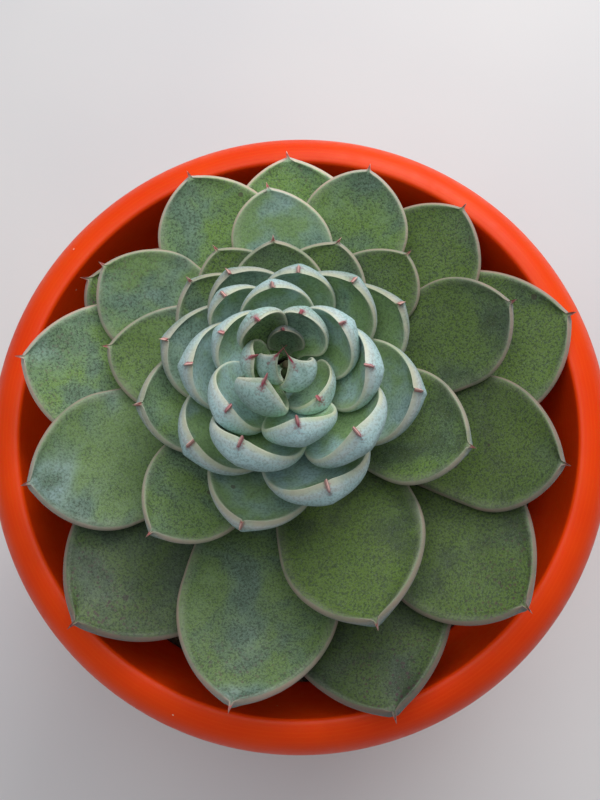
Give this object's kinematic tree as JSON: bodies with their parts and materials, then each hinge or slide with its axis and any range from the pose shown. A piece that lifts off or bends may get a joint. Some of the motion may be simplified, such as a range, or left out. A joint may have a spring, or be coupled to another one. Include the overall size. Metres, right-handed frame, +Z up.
{
  "type": "potted rosette succulent",
  "caption": "Rosette succulent of broad fleshy pointed leaves on a short stem, in soil in a round tapered plastic pot with a rolled lip.",
  "frame": {"origin": "centre of the pot's foot, on the surface that the pot stands on", "axes": "+Z up along the pot's axis; the plant's stem stands a little towards +Y of that axis"},
  "size_m": [0.15, 0.15, 0.163],
  "materials": {
    "pot": "smooth saturated orange injection-moulded plastic, satin gloss, fine turned mould lines",
    "soil": "dark crumbly potting mix with grit",
    "stem": "short green-brown fleshy stem",
    "leaf": "waxy blue-green leaf skin with powdery bloom, pale margins and pink tips"
  },
  "bodies": {
    "root": {"pot": "pot", "soil": "soil", "stem": "stem", "leaf_01": "leaf", "leaf_02": "leaf", "leaf_03": "leaf", "leaf_04": "leaf", "leaf_05": "leaf", "leaf_06": "leaf", "leaf_07": "leaf", "leaf_08": "leaf", "leaf_09": "leaf", "leaf_10": "leaf", "leaf_11": "leaf", "leaf_12": "leaf", "leaf_13": "leaf", "leaf_14": "leaf", "leaf_15": "leaf", "leaf_16": "leaf", "leaf_17": "leaf", "leaf_18": "leaf", "leaf_19": "leaf", "leaf_20": "leaf", "leaf_21": "leaf", "leaf_22": "leaf", "leaf_23": "leaf", "leaf_24": "leaf", "leaf_25": "leaf", "leaf_26": "leaf", "leaf_27": "leaf", "leaf_28": "leaf", "leaf_29": "leaf", "leaf_30": "leaf", "leaf_31": "leaf", "leaf_32": "leaf", "leaf_33": "leaf", "leaf_34": "leaf", "leaf_35": "leaf", "leaf_36": "leaf", "leaf_37": "leaf", "leaf_38": "leaf", "leaf_39": "leaf", "leaf_40": "leaf", "leaf_41": "leaf", "leaf_42": "leaf", "leaf_43": "leaf", "leaf_44": "leaf", "leaf_45": "leaf", "leaf_46": "leaf", "leaf_47": "leaf", "leaf_48": "leaf", "leaf_49": "leaf", "leaf_50": "leaf", "leaf_51": "leaf", "leaf_52": "leaf", "leaf_53": "leaf", "leaf_54": "leaf", "leaf_55": "leaf", "leaf_56": "leaf"}
  },
  "joints": []
}
